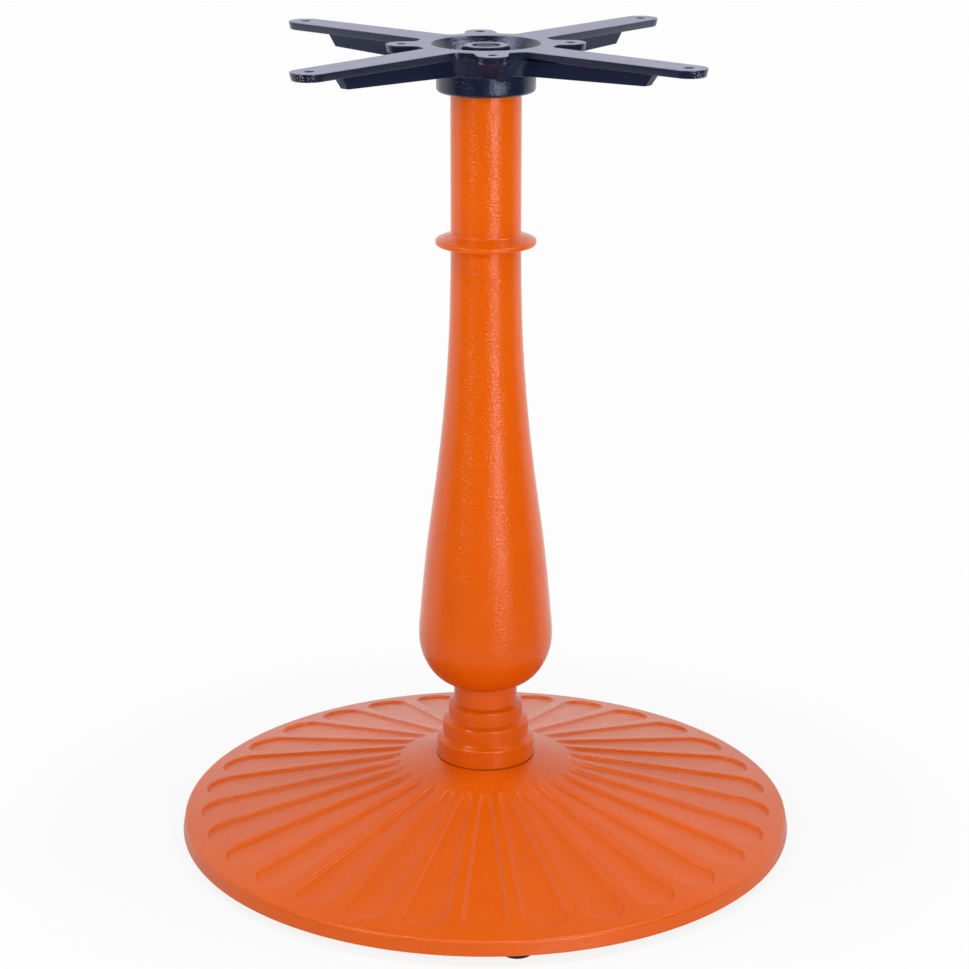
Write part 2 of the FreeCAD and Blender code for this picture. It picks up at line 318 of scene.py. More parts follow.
@dataclass(frozen=True)
class PowderCoat(Finish):
    """Orange powder coat: a satin film with orange peel over the cast surface."""

    name: str
    peel: float
    peel_height: float
    grit: float
    grit_height: float
    gloss: float
    squat: float = 1.0
    shine: float = 0.36
    seam_r: float = 0.0
    seam_fade: tuple[float, float] = (0.4 * MM, 0.8 * MM)
    calm_below: float = -1.0
    calm_fade: float = 40 * MM
    calm_share: float = 0.45
    swell: float = 45 * MM
    swell_range: tuple[float, float] = (0.35, 0.65)
    swell_gloss: float = 0.04
    grit_gloss: float = 0.06
    peel_rough: float = 0.4
    peel_warp: float = 0.9
    lean: Point = (0.31, 0.23, 0.52)
    colour: Colour = (0.688, 0.101, 0.0005, 1.0)
    deep: Colour = (0.673, 0.095, 0.0005, 1.0)
    # Colour of the painted shade in the seam where the column's foot meets the base.
    seam_shade: Colour = (0.270, 0.028, 0.001, 1.0)

    def shader(self, graph: Graph, place: Socket) -> Socket:
        """Peel and grit as relief, slow swells of colour and, where there is a seam, painted shade along it.

        Args:
            graph: the material's node tree.
            place: where on the object a point lies.

        Returns:
            The shader.
        """
        swell = graph.noise(place, self.swell, detail=3.0)
        squat = graph.node("ShaderNodeMapping", inputs={
            0: place, "Rotation": self.lean, "Scale": (1.0, 1.0, self.squat)})
        peel = graph.noise(squat, self.peel, detail=1.0, rough=self.peel_rough, warp=self.peel_warp)
        grit = graph.noise(place, self.grit)
        x, y, z = graph.parts(place)
        calm = graph.ramp(z, self.calm_below, self.calm_below + self.calm_fade)
        strength = self.calm_share + calm * (1 - self.calm_share)
        height = peel * strength * self.peel_height + grit * self.grit_height
        colour = graph.mix_colour(graph.ramp(swell, *self.swell_range), self.colour, self.deep)
        # Painted shade: a thin dark ring darkens the colour along the seam between the column's foot and the
        # base.
        if self.seam_r:
            off_seam = abs(graph.away(x, y) - self.seam_r)
            colour = graph.mix_colour(1 - graph.ramp(off_seam, *self.seam_fade), colour, self.seam_shade)
        roughness = self.gloss + (swell - 0.5) * self.swell_gloss + (grit - 0.5) * self.grit_gloss
        return graph.node("ShaderNodeBsdfPrincipled", inputs={
            "Base Color": colour, "Roughness": roughness, "Normal": graph.bump(height),
            "Specular IOR Level": self.shine})


@dataclass(frozen=True)
class BlackPaint(Finish):
    """Black paint on a casting: glossy peel on the sides, a smoother machined top coloured lighter as a
    painted sheen.
    """

    name: str = "black_paint"
    top_z: float = 720.0 * MM
    colour: Colour = (0.0090, 0.0110, 0.0290, 1.0)
    # The two lighter colours of the top are a painted sheen for the light that the flat top catches.
    top_sheen: Colour = (0.210, 0.210, 0.308, 1.0)
    top_sheen_dim: Colour = (0.150, 0.150, 0.225, 1.0)
    chip: Colour = (0.42, 0.41, 0.40, 1.0)
    gloss: float = 0.24
    top_gloss: float = 0.16
    dish_gloss: float = 0.08
    swell_gloss: float = 0.12
    bare_gloss: float = 0.45
    bare_share: float = 0.9
    bare_shine: float = 0.35
    shine: float = 0.70
    sheen: Colour = (0.72, 0.76, 1.0, 1.0)
    bare_sheen: Colour = (0.08, 0.30, 1.0, 1.0)
    peel: float = 1.5 * MM
    peel_height: float = 0.20 * MM
    swell: float = 14 * MM
    swell_tint: float = 0.35
    grit: float = 0.5 * MM
    grit_height: float = 0.03 * MM
    fleck: float = 0.9 * MM
    fleck_range: tuple[float, float] = (0.70, 0.75)
    fleck_lift: float = 0.12
    streak: float = 1.2 * MM
    streak_pull: float = 0.12
    streak_tint: float = 0.45
    top_fade: tuple[float, float] = (0.5 * MM, 0.2 * MM)
    top_calm: float = 0.9
    dish_below: float = 1 * MM
    bore_below: float = 0.25 * MM
    under_margin: float = 0.3 * MM
    plate: float = 7.0 * MM
    collar_r: float = 43.5 * MM
    dish_r: float = 47.0 * MM
    arm_hole_at: float = 212.6 * MM
    lug_hole_at: float = 71.5 * MM
    bore_r: float = 4.4 * MM
    pit_r: float = 2.4 * MM
    pit_range: tuple[float, float] = (0.2, 0.5)
    pits: tuple[Point, ...] = (
        (0.1303, -0.1156, 0.7200),
        (0.1456, -0.1329, 0.7200),
        (0.0944, 0.1059, 0.7200),
    )
    chip_spread: float = 6.5 * MM
    chip_edge: float = 0.3
    chips: tuple[Point, ...] = (
        (0.1535, -0.1640, 0.7190),
        (0.1565, -0.1625, 0.7150),
        (-0.1480, -0.1655, 0.7175),
        (-0.1580, -0.1630, 0.7165),
    )

    def bores(self, graph: Graph, place: Socket) -> Socket:
        """Finds the screw holes of the arms and lugs.

        Args:
            graph: the material's node tree.
            place: where on the object a point lies.

        Returns:
            1 inside a hole, else 0.
        """
        x, y, z = graph.parts(place)
        long, short = graph.math("MAXIMUM", abs(x), abs(y)), graph.math("MINIMUM", abs(x), abs(y))
        arm_at = self.arm_hole_at / math.sqrt(2)
        to_arm = (long - arm_at) ** 2 + (short - arm_at) ** 2
        to_lug = (long - self.lug_hole_at) ** 2 + short ** 2
        inside = graph.math("MINIMUM", to_arm, to_lug) < self.bore_r ** 2
        return inside * (z < self.top_z - self.bore_below)

    def spots(self, graph: Graph, place: Socket, points: Sequence[Point], reach: float) -> Socket:
        """Finds what lies near any of several points.

        Args:
            graph: the material's node tree.
            place: where on the object a point lies.
            points: the middles of the spots.
            reach: how far from a middle the result falls to 0.

        Returns:
            1 at each middle, fading to 0.
        """
        found = graph.near(place, points[0], reach)
        for point in points[1:]:
            found = graph.math("MAXIMUM", found, graph.near(place, point, reach))
        return found

    def shader(self, graph: Graph, place: Socket) -> Socket:
        """A glossy film that is matt and bare below and in the holes, worn and pitted on top, where a lighter
        colour is a painted sheen.

        Args:
            graph: the material's node tree.
            place: where on the object a point lies.

        Returns:
            The shader.
        """
        x, y, z = graph.parts(place)
        away = graph.away(x, y)
        fade_from, fade_to = self.top_fade
        top = graph.ramp(z, self.top_z - fade_from, self.top_z - fade_to)
        dish = (away < self.dish_r) * (z < self.top_z - self.dish_below)
        under = (away > self.collar_r) * (z < self.top_z - self.plate + self.under_margin)
        matt = graph.math("MAXIMUM", under * self.bare_share, self.bores(graph, place))
        peel = graph.noise(place, self.peel, detail=1.5)
        swell = graph.noise(place, self.swell, detail=3.0)
        grit = graph.noise(place, self.grit)
        flecks = graph.noise(place, self.fleck, detail=1.0)
        pulled = graph.node("ShaderNodeMapping", inputs={0: place, "Scale": (self.streak_pull, 1.0, 1.0)})
        streak = graph.noise(pulled, self.streak)
        worn = self.spots(graph, place, self.chips, self.chip_spread)
        chipped = graph.ramp(flecks + worn * self.fleck_lift, *self.fleck_range)
        chipped = chipped * graph.ramp(worn, 0.0, self.chip_edge)
        pitted = graph.ramp(self.spots(graph, place, self.pits, self.pit_r), *self.pit_range)
        relief = peel * (1 + dish) * self.peel_height + grit * self.grit_height
        tint = streak * self.streak_tint + swell * self.swell_tint
        # Painted sheen: the top gets lighter colours for the light it catches, varied by streaks and swells.
        top_face_sheen = graph.mix_colour(tint, self.top_sheen, self.top_sheen_dim)
        colour = graph.mix_colour(top, self.colour, top_face_sheen)
        colour = graph.mix_colour(pitted, colour, self.colour)
        colour = graph.mix_colour(chipped, colour, self.chip)
        roughness = self.gloss + top * self.top_gloss - dish * self.dish_gloss
        roughness = roughness + (swell - 0.5) * self.swell_gloss
        inputs = {"Base Color": colour, "Normal": graph.bump(relief * (1 - top * self.top_calm))}
        film = graph.node("ShaderNodeBsdfPrincipled", inputs=inputs | {
            "Roughness": roughness, "Specular IOR Level": self.shine, "Specular Tint": self.sheen})
        bare = graph.node("ShaderNodeBsdfPrincipled", inputs=inputs | {
            "Roughness": self.bare_gloss, "Specular IOR Level": self.bare_shine,
            "Specular Tint": self.bare_sheen})
        return graph.node("ShaderNodeMixShader", inputs={0: matt, 1: film, 2: bare})


@dataclass(frozen=True)
class Steel(Finish):
    """Turned steel, blackened or plated, with fine tool marks and a few dull patches."""

    name: str
    colour: Colour
    dull: Colour
    metal: float
    gloss: float
    shine: float = 0.5
    patch: float = 6 * MM
    patch_range: tuple[float, float] = (0.4, 0.7)
    patch_gloss: float = 0.3
    grain: float = 0.35 * MM
    grain_height: float = 0.02 * MM

    def shader(self, graph: Graph, place: Socket) -> Socket:
        """Dull patches in the colour and the gloss, over a fine grain.

        Args:
            graph: the material's node tree.
            place: where on the object a point lies.

        Returns:
            The shader.
        """
        patches = graph.noise(place, self.patch, detail=4.0)
        normal = graph.bump(graph.noise(place, self.grain) * self.grain_height)
        colour = graph.mix_colour(graph.ramp(patches, *self.patch_range), self.colour, self.dull)
        roughness = self.gloss + (patches - 0.5) * self.patch_gloss
        return graph.node("ShaderNodeBsdfPrincipled", inputs={
            "Base Color": colour, "Roughness": roughness, "Normal": normal,
            "Metallic": self.metal, "Specular IOR Level": self.shine})


@dataclass(frozen=True)
class Nylon(Finish):
    """Black moulded nylon with a faint sparked grain."""

    name: str = "black_nylon"
    colour: Colour = (0.011, 0.011, 0.012, 1.0)
    scuffed: Colour = (0.035, 0.035, 0.036, 1.0)
    scuff: float = 3 * MM
    scuff_range: tuple[float, float] = (0.5, 0.8)
    scuff_gloss: float = 0.2
    gloss: float = 0.42
    grain: float = 0.4 * MM
    grain_height: float = 0.03 * MM

    def shader(self, graph: Graph, place: Socket) -> Socket:
        """Scuffs in the colour and the gloss, over a fine grain.

        Args:
            graph: the material's node tree.
            place: where on the object a point lies.

        Returns:
            The shader.
        """
        scuffs = graph.noise(place, self.scuff, detail=4.0)
        normal = graph.bump(graph.noise(place, self.grain) * self.grain_height)
        colour = graph.mix_colour(graph.ramp(scuffs, *self.scuff_range), self.colour, self.scuffed)
        roughness = self.gloss + (scuffs - 0.5) * self.scuff_gloss
        return graph.node("ShaderNodeBsdfPrincipled", inputs={
            "Base Color": colour, "Roughness": roughness, "Normal": normal})


class GeometryTree:
    """A geometry node tree with named inputs, built once and used on many objects."""

    name = "tree"
    merge = 0.005 * MM

    def __init__(self) -> None:
        """Builds the tree."""
        self.tree = bpy.data.node_groups.new(self.name, "GeometryNodeTree")
        self.graph = Graph(self.tree)
        self.identifiers: dict[str, str] = {}
        self._input("Geometry", "NodeSocketGeometry")
        self.tree.interface.new_socket("Geometry", in_out="OUTPUT", socket_type="NodeSocketGeometry")
        for label, kind in self.inputs().items():
            self._input(label, kind)
        self._input("Material", "NodeSocketMaterial")
        self.given = self.graph.node("NodeGroupInput")
        self._close(self.shape())

    def inputs(self) -> dict[str, str]:
        """The named inputs and their socket types."""
        raise NotImplementedError

    def shape(self) -> Socket:
        """The geometry that the tree makes."""
        raise NotImplementedError

    def value(self, label: str) -> Socket:
        """A named input of the tree."""
        return self.given.sibling(label)

    def _input(self, label: str, kind: str) -> None:
        """Adds a named input."""
        made = self.tree.interface.new_socket(label, in_out="INPUT", socket_type=kind)
        self.identifiers[label] = made.identifier

    def _close(self, shape: Socket) -> None:
        """Ends the tree: merged, smooth, realized and with its material.

        Args:
            shape: the geometry that the tree makes.
        """
        graph = self.graph
        merged = graph.node("GeometryNodeMergeByDistance", inputs={"Geometry": shape, "Distance": self.merge})
        smooth = graph.node("GeometryNodeSetShadeSmooth", inputs={0: merged})
        whole = graph.node("GeometryNodeRealizeInstances", inputs={"Geometry": smooth})
        dressed = graph.node(
            "GeometryNodeSetMaterial", inputs={"Geometry": whole, "Material": self.value("Material")})
        graph.end("NodeGroupOutput", dressed)

    def make(self, name: str, start: bpy.types.Mesh, values: dict[str, Any]) -> bpy.types.Mesh:
        """Runs the tree on a mesh.

        Args:
            name: name of the result.
            start: the mesh that goes in.
            values: the named inputs, Material among them.

        Returns:
            A plain mesh with its faces turned outwards.
        """
        carrier = placed(name + "_carrier", start)
        modifier = carrier.modifiers.new(self.name, "NODES")
        modifier.node_group = self.tree
        for label, value in values.items():
            modifier[self.identifiers[label]] = value
        mesh = evaluated_mesh(carrier, name)
        bpy.data.objects.remove(carrier)
        return mesh


class LatheTree(GeometryTree):
    """Turns a profile round the Z axis, with a screw thread cut into one stretch or two."""

    name = "lathe"

    def inputs(self) -> dict[str, str]:
        """The lathe's named inputs."""
        return {
            "Segments": "NodeSocketInt",
            "Thread Depth": "NodeSocketFloat",
            "Thread Pitch": "NodeSocketFloat",
            "Thread Middle": "NodeSocketFloat",
            "Thread From": "NodeSocketFloat",
            "Thread To": "NodeSocketFloat",
        }

    def shape(self) -> Socket:
        """A grid of profile rows and turned columns, bent into a body of revolution.

        Returns:
            The turned mesh.
        """
        graph = self.graph
        profile = self.value("Geometry")
        segments = self.value("Segments")
        rows = graph.node(
            "GeometryNodeAttributeDomainSize", {"component": "MESH"}, {"Geometry": profile}, "Point Count")
        grid = graph.node("GeometryNodeMeshGrid", inputs={"Vertices X": segments + 1, "Vertices Y": rows})
        index = graph.node("GeometryNodeInputIndex")
        row = index % rows
        turn = graph.math("FLOOR", index / rows) / segments
        spot = graph.node("GeometryNodeInputPosition")
        point = graph.node(
            "GeometryNodeSampleIndex",
            {"data_type": "FLOAT_VECTOR", "domain": "POINT"},
            {"Geometry": profile, "Value": spot, "Index": row},
        )
        radius, _, height = graph.parts(point)
        pitch = self.value("Thread Pitch")
        away = abs(height - self.value("Thread Middle"))
        start = self.value("Thread From")
        end = self.value("Thread To")
        cut = graph.ramp(away, start, start + pitch) * (1 - graph.ramp(away, end - pitch, end))
        groove = abs((height / pitch - turn) % 1.0 * 2 - 1)
        depth = self.value("Thread Depth")
        radius = radius - groove * cut * depth * (radius > depth)
        angle = turn * math.tau
        placed = graph.vector(
            radius * graph.math("COSINE", angle), radius * graph.math("SINE", angle), height)
        return graph.node("GeometryNodeSetPosition", inputs={"Geometry": grid, "Position": placed})


class FluteTree(GeometryTree):
    """Lays a ring of tapered flutes on a cone and joins them to the rest of the base."""

    name = "flutes"
    half_around = 44
    tip_columns = 14
    outer_share = tip_columns / half_around
    inner_share = (half_around - tip_columns) / half_around

    def inputs(self) -> dict[str, str]:
        """The flutes' named inputs.

        Returns:
            The socket type of each.
        """
        lengths = (
            "Apex Height", "Slope", "Inner End", "Outer End", "Inner Round", "Outer Round",
            "Depth", "Wall", "Shoulder", "Brink", "Run Out", "Land Inner", "Land Outer",
        )
        counts = ("Flutes", "Around", "Rows")
        return {**dict.fromkeys(lengths, "NodeSocketFloat"), **dict.fromkeys(counts, "NodeSocketInt")}

    def shape(self) -> Socket:
        """One flute with its share of land, repeated round the axis.

        Returns:
            The ring of flutes joined to the geometry that came in.
        """
        graph = self.graph
        flutes = self.value("Flutes")
        slope = self.value("Slope")
        rows = self.value("Rows")
        level = 1 / graph.math("SQRT", slope * slope + 1)
        grid = graph.node("GeometryNodeMeshGrid", inputs={
            "Size X": 2.0, "Size Y": 1.0, "Vertices X": self.value("Around") + 1, "Vertices Y": rows + 1})
        across, along, _ = graph.parts(graph.node("GeometryNodeInputPosition"))
        row = graph.math("ROUND", (along + 0.5) * rows)
        way = abs(across)
        side = graph.math("SIGN", across)

        inner_round = self.value("Inner Round")
        outer_round = self.value("Outer Round")
        inner_centre = self.value("Inner End") / level + inner_round
        outer_centre = self.value("Outer End") / level - outer_round
        taper = graph.math("ARCSINE", (outer_round - inner_round) / (outer_centre - inner_centre))
        flank = taper + math.pi / 2

        first, last = self.outer_share, self.inner_share
        down = graph.ramp(way, first, last)
        tip_turn = graph.ramp(way, 0.0, first) * flank
        root_turn = graph.ramp(way, last, 1.0) * (math.pi - flank)
        facing = tip_turn + root_turn
        centre = outer_centre + (inner_centre - outer_centre) * down
        spread = outer_round + (inner_round - outer_round) * down

        share = graph.ramp(row, 2, rows - 1)
        brink = (row < 1.5) * self.value("Brink")
        offset = self.value("Shoulder") + brink - share * self.value("Wall")
        reach = (spread + offset) * (1 - (row > rows - 0.5))
        flute_x = (centre + graph.math("COSINE", facing) * reach) * level
        flute_y = side * graph.math("SINE", facing) * reach

        land_outer = self.value("Land Outer")
        land_inner = self.value("Land Inner")
        shoulder_r = (outer_centre + graph.math("COSINE", flank) * outer_round) * level
        root_r = (inner_centre + graph.math("COSINE", flank) * inner_round) * level
        half_last = (last + 1) / 2
        land_r = land_outer + (shoulder_r - land_outer) * graph.ramp(way, first / 2, first)
        land_r = land_r + (root_r - shoulder_r) * down
        land_r = land_r + (land_inner - root_r) * graph.ramp(way, last, half_last)
        fan = graph.ramp(way, 0.0, first / 2) * (1 - graph.ramp(way, half_last, 1.0))
        land_angle = side * fan * math.pi / flutes
        edge = row < 0.5
        x = flute_x + (land_r * graph.math("COSINE", land_angle) - flute_x) * edge
        y = flute_y + (land_r * graph.math("SINE", land_angle) - flute_y) * edge
        radius = graph.away(x, y)
        flute_end = self.value("Inner End")
        rise = graph.ramp(radius, flute_end, flute_end + self.value("Run Out"), smooth=True)
        dip = graph.ramp(share, 0.0, 1.0, smooth=True) * rise * self.value("Depth") / level
        height = self.value("Apex Height") - slope * radius - dip
        flute = graph.node(
            "GeometryNodeSetPosition", inputs={"Geometry": grid, "Position": graph.vector(x, y, height)})

        points = graph.node("GeometryNodePoints", inputs={"Count": flutes})
        turn = graph.node("GeometryNodeInputIndex") * math.tau / flutes
        ring = graph.node(
            "GeometryNodeInstanceOnPoints",
            inputs={"Points": points, "Instance": flute, "Rotation": graph.vector(0.0, 0.0, turn)},
        )
        laid = graph.node("GeometryNodeRealizeInstances", inputs={"Geometry": ring})
        return graph.node("GeometryNodeJoinGeometry", inputs={"Geometry": [self.value("Geometry"), laid]})


def placed(name: str, data: bpy.types.ID) -> bpy.types.Object:
    """Puts a mesh, a light or a camera into the scene.

    Args:
        name: the new object's name.
        data: what the object holds.

    Returns:
        The object.
    """
    made = bpy.data.objects.new(name, data)
    bpy.context.scene.collection.objects.link(made)
    return made


def evaluated_mesh(carrier: bpy.types.Object, name: str) -> bpy.types.Mesh:
    """The plain mesh that an object's modifiers give, closed and with its faces turned outwards.

    Args:
        carrier: the object with its modifiers.
        name: name of the mesh.

    Returns:
        A new mesh with no modifiers.
    """
    depsgraph = bpy.context.evaluated_depsgraph_get()
    mesh = bpy.data.meshes.new_from_object(carrier.evaluated_get(depsgraph))
    mesh.name = name
    work = bmesh.new()
    work.from_mesh(mesh)
    bmesh.ops.remove_doubles(work, verts=work.verts, dist=WELD)
    bmesh.ops.dissolve_degenerate(work, edges=work.edges, dist=SLIVER)
    bmesh.ops.recalc_face_normals(work, faces=work.faces)
    work.to_mesh(mesh)
    work.free()
    return mesh


def joined(name: str, meshes: Sequence[bpy.types.Mesh]) -> bpy.types.Mesh:
    """Several meshes of one material as one mesh.

    Args:
        name: name of the whole.
        meshes: its parts, already in place.

    Returns:
        The whole.
    """
    work = bmesh.new()
    for mesh in meshes:
        work.from_mesh(mesh)
    whole = bpy.data.meshes.new(name)
    work.to_mesh(whole)
    work.free()
    for material in meshes[0].materials:
        whole.materials.append(material)
    return whole


def show(
    name: str, mesh: bpy.types.Mesh, body: str, slot: Slot, *nodes: str, sharp_deg: float = 38.0
) -> bpy.types.Object:
    """Puts a finished mesh into the scene.

    Args:
        name: the piece's name.
        mesh: its mesh, already in place.
        body: the body that it rides on.
        slot: the record's material slot; not used.
        nodes: the solids that it stands for.
        sharp_deg: the turn between two faces from which their edge is shaded sharp.

    Returns:
        The object.
    """
    mesh.set_sharp_from_angle(angle=math.radians(sharp_deg))
    piece = placed(name, mesh)
    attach(piece, body)
    if nodes:
        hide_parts(*nodes)
    LOG.info("%s: %d faces on %s", name, len(mesh.polygons), body)
    return piece


def rounded(corners: Sequence[Point], steps: int = 6, support: float = 0.5) -> list[Vector]:
    """A profile through corners of (radius, height, rounding) in millimetres.

    Args:
        corners: the corners in order.
        steps: how many stretches an arc has.
        support: how far beside an arc a straight stretch gets a point that keeps it flat.

    Returns:
        Points in metres in the XZ plane.
    """
    spots = [Vector((radius, 0.0, height)) for radius, height, _ in corners]
    line: list[Vector] = []
    for index, (spot, corner) in enumerate(zip(spots, corners)):
        rounding = corner[2]
        if rounding <= 0 or index in (0, len(spots) - 1):
            line.append(spot)
            continue
        back = (spots[index - 1] - spot).normalized()
        ahead = (spots[index + 1] - spot).normalized()
        half = back.angle(ahead) / 2
        reach = rounding / math.tan(half)
        middle = spot + (back + ahead).normalized() * rounding / math.sin(half)
        first = spot + back * reach - middle
        last = spot + ahead * reach - middle
        sweep = first.angle(last)
        line.append(spot + back * (reach + support))
        for step in range(steps + 1):
            share = step / steps
            blend = first * math.sin((1 - share) * sweep) + last * math.sin(share * sweep)
            line.append(middle + blend / math.sin(sweep))
        line.append(spot + ahead * (reach + support))
    return [point * MM for point in line]


def smooth_line(points: Sequence[tuple[float, float]], steps: int = 8) -> list[Vector]:
    """A natural cubic curve through (radius, height) points in millimetres.

    Args:
        points: what the curve passes through.
        steps: how many stretches lie between two of them.

    Returns:
        Points in metres in the XZ plane.
    """
    given = np.array(points, float)
    knots = np.concatenate([[0.0], np.cumsum(np.linalg.norm(np.diff(given, axis=0), axis=1))])
    gaps = np.diff(knots)
    count = len(given)
    system = np.eye(count)
    right = np.zeros((count, 2))
    for k in range(1, count - 1):
        system[k, k - 1:k + 2] = gaps[k - 1], 2 * (gaps[k - 1] + gaps[k]), gaps[k]
        right[k] = 6 * ((given[k + 1] - given[k]) / gaps[k] - (given[k] - given[k - 1]) / gaps[k - 1])
    bend = np.linalg.solve(system, right)
    line = []
    for k in range(count - 1):
        for step in range(steps if k < count - 2 else steps + 1):
            right_share = step / steps
            left_share = 1 - right_share
            straight = given[k] * left_share + given[k + 1] * right_share
            pull = (left_share**3 - left_share) * bend[k] + (right_share**3 - right_share) * bend[k + 1]
            radius, height = straight + pull * gaps[k] ** 2 / 6
            line.append(Vector((radius, 0.0, height)) * MM)
    return line


def profile_mesh(name: str, line: Sequence[Vector]) -> bpy.types.Mesh:
    """A mesh with only the points of a profile, in order, for the lathe.

    Args:
        name: name of the mesh.
        line: the profile.

    Returns:
        The mesh.
    """
    mesh = bpy.data.meshes.new(name)
    mesh.from_pydata([tuple(point) for point in line], [], [])
    return mesh


def turned(
    lathe: LatheTree, name: str, line: Sequence[Vector], segments: int, material: bpy.types.Material,
    **thread: float,
) -> bpy.types.Mesh:
    """A body of revolution.

    Args:
        lathe: the lathe's node tree.
        name: name of the mesh.
        line: its profile in metres.
        segments: facets round the axis.
        material: its finish.
        thread: depth, pitch, middle, start and end of a thread, in metres.

    Returns:
        The turned mesh.
    """
    values = {
        "Segments": segments,
        "Thread Depth": thread.get("depth", 0.0),
        "Thread Pitch": thread.get("pitch", MM),
        "Thread Middle": thread.get("middle", 0.0),
        "Thread From": thread.get("start", 0.0),
        "Thread To": thread.get("end", 1.0),
        "Material": material,
    }
    return lathe.make(name, profile_mesh(name + "_profile", line), values)


@dataclass
class FlutedBase:
    """The round base: a cone with a ring of flutes, a rim, and the open shell below. Millimetres.

    A flute's side leans in by its wall, from a lip that lies a shoulder outside its outline. The brink
    keeps the land beside the lip flat, and over the run-out the inner end rises to the cone.
    """

    lathe: LatheTree
    coat: bpy.types.Material
    apex_z: float = CONE_APEX_Z
    slope: float = CONE_SLOPE
    rim_z: float = 8.6
    rim_r: float = 277.4
    rim_top_r: float = 275.0
    rim_round: float = 3.0
    rim_edge: float = 1.0
    rim_land: float = 12.0
    root_round: float = 3.0
    inner_draft: float = 3.0
    shell: float = 8.2
    hub_r: float = 37.0
    hub_root_round: float = 6.0
    hub_edge: float = 1.5
    hub_bottom_z: float = 48.0
    rod_hole_r: float = 13.0
    rod_hole_edge: float = 0.6
    seat_r: float = SEAT_R
    turn_deg: float = BASE_TURN_DEG
    flutes: int = 30
    flute_ends: tuple[float, float] = (75.0, 260.5)
    flute_rounds: tuple[float, float] = (5.0, 19.3)
    flute_depth: float = 2.4
    wall: float = 3.0
    shoulder: float = 0.5
    run_out: float = 12.0
    brink: float = 0.5
    land: tuple[float, float] = (66.0, 265.5)
    rows: int = 17
    boss_at_r: float = FOOT_AT_R
    boss_r: float = 15.5
    boss_edge: float = 1.0
    boss_segments: int = 48
    boss_support: float = 0.3
    boss_z: float = 9.6
    boss_top_z: float = 21.9
    stud_hole_r: float = 5.05
    stud_hole_z: float = 21.2
    hole_mouth: float = 0.4

    def cone(self, radius: float) -> float:
        """Height of the cone at a radius."""
        return self.apex_z - self.slope * radius

    def shell_line(self) -> list[Vector]:
        """The profile of all that isn't fluted: rim, open underside, hub and seat.

        Returns:
            Points in metres, from the outer end of the land round to its inner end.
        """
        inner, outer = self.land
        hub_root = self.hub_r + self.inner_draft
        inside = self.rim_r - self.rim_land
        inside_top = inside - self.inner_draft
        return rounded([
            (outer, self.cone(outer), 0),
            (self.rim_top_r, self.cone(self.rim_top_r), self.rim_round),
            (self.rim_r, self.rim_z, self.rim_edge),
            (inside, self.rim_z, self.rim_edge),
            (inside_top, self.cone(inside_top) - self.shell, self.root_round),
            (hub_root, self.cone(hub_root) - self.shell, self.hub_root_round),
            (self.hub_r, self.hub_bottom_z, self.hub_edge),
            (self.rod_hole_r, self.hub_bottom_z, self.rod_hole_edge),
            (self.rod_hole_r, self.cone(self.seat_r), 0),
            (self.seat_r, self.cone(self.seat_r), 0),
            (inner, self.cone(inner), 0),
        ])

    def boss_line(self) -> list[Vector]:
        """The profile of a boss, before its hole is cut."""
        return rounded([
            (0, self.boss_z, 0),
            (self.boss_r, self.boss_z, self.boss_edge),
            (self.boss_r, self.boss_top_z, 0),
            (0, self.boss_top_z, 0),
        ], support=self.boss_support)

    def hole_line(self) -> list[Vector]:
        """The profile of what a stud hole takes away, wider at its mouth."""
        below = self.boss_z - self.hole_mouth
        return rounded([
            (0, below, 0),
            (self.stud_hole_r + 2 * self.hole_mouth, below, 0),
            (self.stud_hole_r, self.boss_z + self.hole_mouth, 0),
            (self.stud_hole_r, self.stud_hole_z, 0),
            (0, self.stud_hole_z, 0),
        ], support=self.boss_support)

    def with_bosses(self, plain: bpy.types.Mesh) -> bpy.types.Mesh:
        """Unites the base with the bosses that the levelling feet screw into, and cuts their holes.

        Args:
            plain: the fluted cone and its shell.

        Returns:
            One closed mesh.
        """
        carrier = placed("base_carrier", plain)
        tools = []
        for operation, line in (("UNION", self.boss_line()), ("DIFFERENCE", self.hole_line())):
            meshes = []
            for side in Side:
                mesh = turned(self.lathe, "boss_tool", line, self.boss_segments, self.coat)
                mesh.transform(foot_place(side, self.boss_at_r, 0.0))
                meshes.append(mesh)
            tool = placed("boss_tools", joined("boss_tools", meshes))
            tools.append(tool)
            boolean = carrier.modifiers.new(operation.lower(), "BOOLEAN")
            boolean.operation = operation
            boolean.solver = "EXACT"
            boolean.object = tool
        whole = evaluated_mesh(carrier, "fluted_base")
        for item in (carrier, *tools):
            bpy.data.objects.remove(item)
        return whole

    def build(self) -> bpy.types.Object:
        """Makes the base.

        Returns:
            The piece that stands for base_plate.
        """
        # One facet for each step of the land's edges, so that shell and land meet point to point
        facets = self.flutes * FluteTree.tip_columns
        shell = turned(self.lathe, "shell", self.shell_line(), facets, self.coat)
        lengths = {
            "Apex Height": self.apex_z,
            "Inner End": self.flute_ends[0],
            "Outer End": self.flute_ends[1],
            "Inner Round": self.flute_rounds[0],
            "Outer Round": self.flute_rounds[1],
            "Depth": self.flute_depth,
            "Wall": self.wall,
            "Shoulder": self.shoulder,
            "Brink": self.brink,
            "Run Out": self.run_out,
            "Land Inner": self.land[0],
            "Land Outer": self.land[1],
        }
        values = {label: length * MM for label, length in lengths.items()} | {
            "Slope": self.slope,
            "Flutes": self.flutes,
            "Around": 2 * FluteTree.half_around,
            "Rows": self.rows,
            "Material": self.coat,
        }
        fluted = FluteTree().make("fluted", shell, values)
        mesh = self.with_bosses(fluted)
        mesh.transform(Matrix.Rotation(math.radians(self.turn_deg), 4, "Z"))
        return show("fluted_base", mesh, STAND, Slot.ORANGE_COAT, "base_plate")


